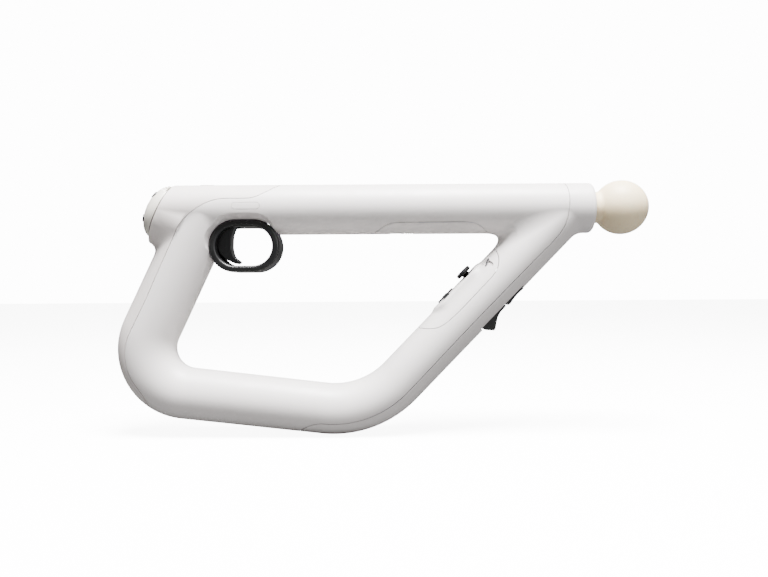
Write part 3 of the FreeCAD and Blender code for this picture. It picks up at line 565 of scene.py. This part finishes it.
# ------------------------------------------------------------------ materials
def node_tree(name):
    m = bpy.data.materials.new(name)
    m.use_nodes = True
    nt = m.node_tree
    nt.nodes.clear()
    out = nt.nodes.new("ShaderNodeOutputMaterial")
    b = nt.nodes.new("ShaderNodeBsdfPrincipled")
    nt.links.new(b.outputs[0], out.inputs[0])
    return m, nt, b


def plastic(name, base, rough, vary=0.035, grain=2600.0, grain_depth=0.00002, rough_vary=0.08, coat=0.0, sss=0.0, spec=0.5, cloud=26.0, smudge=0.5):
    """Moulded plastic: uneven colour at hand size, fine moulded grain, faint handling marks in the gloss."""
    m, nt, b = node_tree(name)
    N, L = nt.nodes, nt.links
    tc = N.new("ShaderNodeTexCoord")
    n1 = N.new("ShaderNodeTexNoise")
    n1.inputs["Scale"].default_value = cloud
    n1.inputs["Detail"].default_value = 5.0
    n1.inputs["Roughness"].default_value = 0.6
    L.new(tc.outputs["Object"], n1.inputs["Vector"])
    ramp = N.new("ShaderNodeValToRGB")
    c = np.array(base)
    ramp.color_ramp.elements[0].position, ramp.color_ramp.elements[1].position = 0.28, 0.75
    ramp.color_ramp.elements[0].color = (*np.clip(c * (1 - vary), 0, 1), 1)
    ramp.color_ramp.elements[1].color = (*np.clip(c * (1 + vary * 0.6), 0, 1), 1)
    L.new(n1.outputs["Fac"], ramp.inputs[0])
    # tiny dark specks of dust
    n4 = N.new("ShaderNodeTexNoise")
    n4.inputs["Scale"].default_value = 900.0
    n4.inputs["Detail"].default_value = 2.0
    L.new(tc.outputs["Object"], n4.inputs["Vector"])
    r4 = N.new("ShaderNodeValToRGB")
    r4.color_ramp.elements[0].position, r4.color_ramp.elements[1].position = 0.74, 0.80
    r4.color_ramp.elements[0].color, r4.color_ramp.elements[1].color = (1, 1, 1, 1), (0.86, 0.85, 0.84, 1)
    L.new(n4.outputs["Fac"], r4.inputs[0])
    mix = N.new("ShaderNodeMix")
    mix.data_type, mix.blend_type = "RGBA", "MULTIPLY"
    mix.inputs[0].default_value = 0.6
    L.new(ramp.outputs[0], mix.inputs[6])
    L.new(r4.outputs[0], mix.inputs[7])
    L.new(mix.outputs[2], b.inputs["Base Color"])
    n2 = N.new("ShaderNodeTexNoise")
    n2.inputs["Scale"].default_value = 60.0
    n2.inputs["Detail"].default_value = 8.0
    n2.inputs["Roughness"].default_value = 0.68
    n2.inputs["Distortion"].default_value = smudge
    L.new(tc.outputs["Object"], n2.inputs["Vector"])
    mr = N.new("ShaderNodeMapRange")
    mr.inputs["From Min"].default_value, mr.inputs["From Max"].default_value = 0.3, 0.7
    mr.inputs["To Min"].default_value, mr.inputs["To Max"].default_value = max(rough - rough_vary, 0.03), min(rough + rough_vary, 1)
    L.new(n2.outputs["Fac"], mr.inputs["Value"])
    L.new(mr.outputs[0], b.inputs["Roughness"])
    n3 = N.new("ShaderNodeTexNoise")
    n3.inputs["Scale"].default_value = grain
    n3.inputs["Detail"].default_value = 3.0
    L.new(tc.outputs["Object"], n3.inputs["Vector"])
    v = N.new("ShaderNodeTexVoronoi")
    v.inputs["Scale"].default_value = grain * 0.55
    L.new(tc.outputs["Object"], v.inputs["Vector"])
    add = N.new("ShaderNodeMath")
    add.operation = "ADD"
    L.new(n3.outputs["Fac"], add.inputs[0])
    L.new(v.outputs["Distance"], add.inputs[1])
    bump = N.new("ShaderNodeBump")
    bump.inputs["Strength"].default_value = 0.35
    bump.inputs["Distance"].default_value = grain_depth
    L.new(add.outputs[0], bump.inputs["Height"])
    L.new(bump.outputs[0], b.inputs["Normal"])
    b.inputs["Coat Weight"].default_value = coat
    b.inputs["Coat Roughness"].default_value = 0.25
    b.inputs["Subsurface Weight"].default_value = sss
    b.inputs["Subsurface Radius"].default_value = (0.004, 0.0032, 0.0026)
    b.inputs["Subsurface Scale"].default_value = 1.0
    b.inputs["Specular IOR Level"].default_value = spec
    return m


def metal(name, base, rough):
    m = plastic(name, base, rough, 0.06, 1800.0, 0.00001, 0.1)
    m.node_tree.nodes["Principled BSDF"].inputs["Metallic"].default_value = 1.0
    return m


def lin(r, g, b):
    def f(c):
        c /= 255.0
        return c / 12.92 if c <= 0.04045 else ((c + 0.055) / 1.055) ** 2.4
    return (f(r), f(g), f(b))


MAT = {
    "shell_white": plastic("shell_white", lin(226, 221, 219), 0.42, 0.03, sss=0.0),
    "shell_warm": plastic("shell_warm", lin(219, 212, 209), 0.44, 0.035),
    "cap_white": plastic("cap_white", lin(222, 217, 207), 0.40, 0.04),
    # gasket_dark is painted shade: a dark band between the rear cap and the body that stands in for the shadow in the
    # gap there
    "gasket_dark": plastic("gasket_dark", lin(62, 55, 50), 0.75, 0.15),
    "guard_black": plastic("guard_black", lin(9, 9, 10), 0.38, 0.16, 2200.0, 0.00003, 0.10, coat=0.05),
    "trigger_black": plastic("trigger_black", lin(7, 7, 8), 0.34, 0.2, 3000.0, 0.00001, 0.10, coat=0.2),
    "stick_grey": plastic("stick_grey", lin(12, 12, 13), 0.66, 0.15, 1500.0, 0.00006, 0.1),
    "key_black": plastic("key_black", lin(11, 11, 12), 0.44, 0.12, 2400.0, 0.00002, 0.1),
    "gimbal_grey": plastic("gimbal_grey", lin(120, 120, 122), 0.5, 0.1),
    "pin_steel": metal("pin_steel", lin(175, 176, 180), 0.3),
    "weight_metal": metal("weight_metal", lin(170, 160, 130), 0.4),
    "orb_white": plastic("orb_white", lin(250, 226, 188), 0.50, 0.02, 1700.0, 0.00003, 0.06, sss=0.35),
    "guide_clear": plastic("guide_clear", lin(225, 228, 230), 0.15, 0.02),
    "board_green": plastic("board_green", lin(24, 86, 52), 0.35, 0.2, 500.0, 0.00005),
    "battery_blue": plastic("battery_blue", lin(50, 70, 120), 0.35, 0.12),
    "rubber_mat": plastic("rubber_mat", lin(150, 150, 152), 0.7, 0.08),
    "key_grey": plastic("key_grey", lin(206, 201, 197), 0.42, 0.04),
}


def dress(ob, slot):
    ob.data.materials.clear()
    ob.data.materials.append(MAT[slot])
    return ob


def piece(ob, name, body_name, slot, nodes, smooth=None):
    ob.name = name
    ob.data.name = name
    if smooth == "sdf":
        smooth_normals(ob)
    elif smooth:
        smooth_by_angle(ob, smooth)
    finish_mesh(ob)
    dress(ob, slot)
    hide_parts(*nodes)
    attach(ob, body_name)
    return ob


for node, ob in frame["nodes"].items():
    for i in range(max(len(ob.data.materials), 1)):
        if i < len(ob.data.materials):
            ob.data.materials[i] = MAT[SLOT[node]]
        else:
            ob.data.materials.append(MAT[SLOT[node]])

for x, z in SCREWS:
    cut(left, screw_tool("st", x, z, 2.6, 13.0, 40))
piece(right, "right_body_moulding", "frame", "shell_white", ["right_body_shell"], "sdf")
piece(left, "left_body_moulding", "frame", "shell_white", ["left_body_shell"], "sdf")
piece(rear_spine, "rear_spine_moulding", "frame", "shell_warm", ["rear_spine_cover"], "sdf")
piece(front_spine, "front_spine_moulding", "frame", "shell_white", ["front_spine_cover"], "sdf")
piece(pad, "control_pad_moulding", "frame", "shell_white", ["control_pad_cover"], "sdf")
piece(under, "underside_moulding", "frame", "shell_white", ["underside_port_cover"], "sdf")

# the orb: one even sphere that runs into its neck without an edge
ORB_X, ORB_R, NECK_R, NECK_B = 199.8, 22.6, 13.0, 5.0


def orb_profile(grow):
    r_n, r_o = NECK_R + grow, ORB_R + grow
    r_c = r_n + NECK_B                                   # ring centre of the blend
    x_c = -math.sqrt((r_o + NECK_B) ** 2 - r_c ** 2)
    prof = [(0.0, 171.0), (r_n, 171.0)]
    a0 = math.atan2(-r_c, -x_c)                          # from the ring centre towards the orb's centre
    for i in range(13):
        a = -math.pi / 2 + (a0 + math.pi / 2) * i / 12
        prof.append((r_c + NECK_B * math.sin(a), ORB_X + x_c + NECK_B * math.cos(a)))
    b0 = math.atan2(r_c, x_c)
    for i in range(1, 65):
        b = b0 * (1 - i / 64)
        prof.append((r_o * math.sin(b) if i < 64 else 0.0, ORB_X + r_o * math.cos(b)))
    return prof


orb_axis = Local((0.0, 82.9), (0.0, 1.0), (1.0, 0.0))
orb = orb_axis.turned("orb", orb_profile(0.0), n=128)
inside = orb_axis.turned("orb_in", [(r, x - (0.0 if x > 171.5 else 5.0)) for r, x in orb_profile(-1.7)], n=96)
boolean(orb, inside, "DIFFERENCE")
piece(orb, "orb_smooth", "frame", "orb_white", ["orb_diffuser"], 40)

# the thumb stick's flared rubber skirt, with its ribbed cap
stick_axis = Local((SN[0] * (S_MID + 10.8) + SD[0] * 67.9, SN[1] * (S_MID + 10.8) + SD[1] * 67.9), SD, SN)


def stick_cap(name, axis, r, lo_h, hi_h, skirt):
    prof = [(0.0, -3.4), (1.6, -3.4), (1.6, skirt[0][1])] + skirt + [(2.9, lo_h - 0.5), (3.4, lo_h), (r - 0.9, lo_h), (r - 0.3, lo_h + 0.25), (r, lo_h + 0.9)]
    m = 6
    for i in range(m):
        h0 = lo_h + 0.9 + (hi_h - lo_h - 2.0) * i / m
        st = (hi_h - lo_h - 2.0) / m
        prof += [(r, h0 + st * 0.15), (r - 0.16, h0 + st * 0.4), (r - 0.16, h0 + st * 0.6), (r, h0 + st * 0.85)]
    prof += [(r, hi_h - 1.1), (r - 0.12, hi_h - 0.65), (r - 0.4, hi_h - 0.25), (r - 0.85, hi_h - 0.04), (r - 1.3, hi_h - 0.05), (r - 1.8, hi_h - 0.25), (r - 2.4, hi_h - 0.55),
             (r - 3.4, hi_h - 0.78), (r - 4.6, hi_h - 0.9), (0.0, hi_h - 0.95)]
    return axis.turned(name, prof, n=128)


fs_ob = stick_cap("fs", stick_axis, 6.8, 12.4, 15.7, [(5.3, 8.2), (5.6, 8.6), (5.6, 9.2), (5.3, 9.7), (4.4, 10.3), (3.5, 11.0)])
piece(fs_ob, "front_stick_rubber", "front_stick_cap", "stick_grey", ["front_stick_cap"], 50)
rs_ob = stick_cap("rs", rear, 6.5, 11.2, 14.0, [(5.0, 7.2), (5.3, 7.6), (5.3, 8.1), (5.0, 8.6), (4.2, 9.2), (3.4, 9.9)])
piece(rs_ob, "rear_stick_rubber", "rear_stick_cap", "stick_grey", ["rear_stick_cap"], 50)

# ------------------------------------------------------------------ stage
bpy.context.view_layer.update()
floor_z = CAD_LO[2] - 0.0002
fm, fnt, fb = node_tree("floor_pale")
fb.inputs["Base Color"].default_value = (0.06, 0.06, 0.06, 1)
fb.inputs["Roughness"].default_value = 0.8
# the camera sees the floor pale; the object gets only a weak bounce from it
fs = fnt.nodes.new("ShaderNodeBsdfPrincipled")
fs.inputs["Base Color"].default_value = (0.86, 0.86, 0.86, 1)
fs.inputs["Roughness"].default_value = 0.9
fs.inputs["Specular IOR Level"].default_value = 0.0
fs.inputs["Emission Color"].default_value = (1, 1, 1, 1)
fs.inputs["Emission Strength"].default_value = 9.0
fp = fnt.nodes.new("ShaderNodeLightPath")
fx = fnt.nodes.new("ShaderNodeMixShader")
fnt.links.new(fp.outputs["Is Camera Ray"], fx.inputs[0])
fnt.links.new(fb.outputs[0], fx.inputs[1])
fnt.links.new(fs.outputs[0], fx.inputs[2])
fnt.links.new(fx.outputs[0], fnt.nodes["Material Output"].inputs[0])
floor = new_object("floor", [(-6, -6, floor_z), (6, -6, floor_z), (6, 6, floor_z), (-6, 6, floor_z)], [(0, 1, 2, 3)])
floor.data.materials.append(fm)

world = bpy.data.worlds.new("studio")
bpy.context.scene.world = world
world.use_nodes = True
wn, wl = world.node_tree.nodes, world.node_tree.links
back = wn["Background"]
back.inputs[0].default_value = (1, 1, 1, 1)
back.inputs[1].default_value = 0.3
seen = wn.new("ShaderNodeBackground")
seen.inputs[0].default_value = (1, 1, 1, 1)
seen.inputs[1].default_value = 14.0
path = wn.new("ShaderNodeLightPath")
wmix = wn.new("ShaderNodeMixShader")
wl.new(path.outputs["Is Camera Ray"], wmix.inputs[0])
wl.new(back.outputs[0], wmix.inputs[1])
wl.new(seen.outputs[0], wmix.inputs[2])
wl.new(wmix.outputs[0], wn["World Output"].inputs[0])


def area(name, loc, target, size, power, colour=(1, 1, 1)):
    l = bpy.data.lights.new(name, "AREA")
    l.shape, l.size, l.energy, l.color = "DISK", size, power, colour
    o = bpy.data.objects.new(name, l)
    bpy.context.scene.collection.objects.link(o)
    o.location = loc
    o.rotation_euler = (Vector(target) - Vector(loc)).to_track_quat("-Z", "Y").to_euler()
    return o


area("key", (0.12, -0.40, 1.5), (0, 0, 0.03), 0.8, 210.0)
area("fill", (1.0, -1.4, 0.5), (0, 0, 0), 1.0, 9.0)

cam = bpy.data.cameras.new("camera")
cam.sensor_width, cam.lens = 36.0, 32.9
cam.clip_start, cam.clip_end = 0.01, 50
co = bpy.data.objects.new("camera", cam)
bpy.context.scene.collection.objects.link(co)
co.location = (0.0007, -0.590, 0.0159)
co.rotation_euler = (math.pi / 2, 0.0061, 0)
bpy.context.scene.camera = co
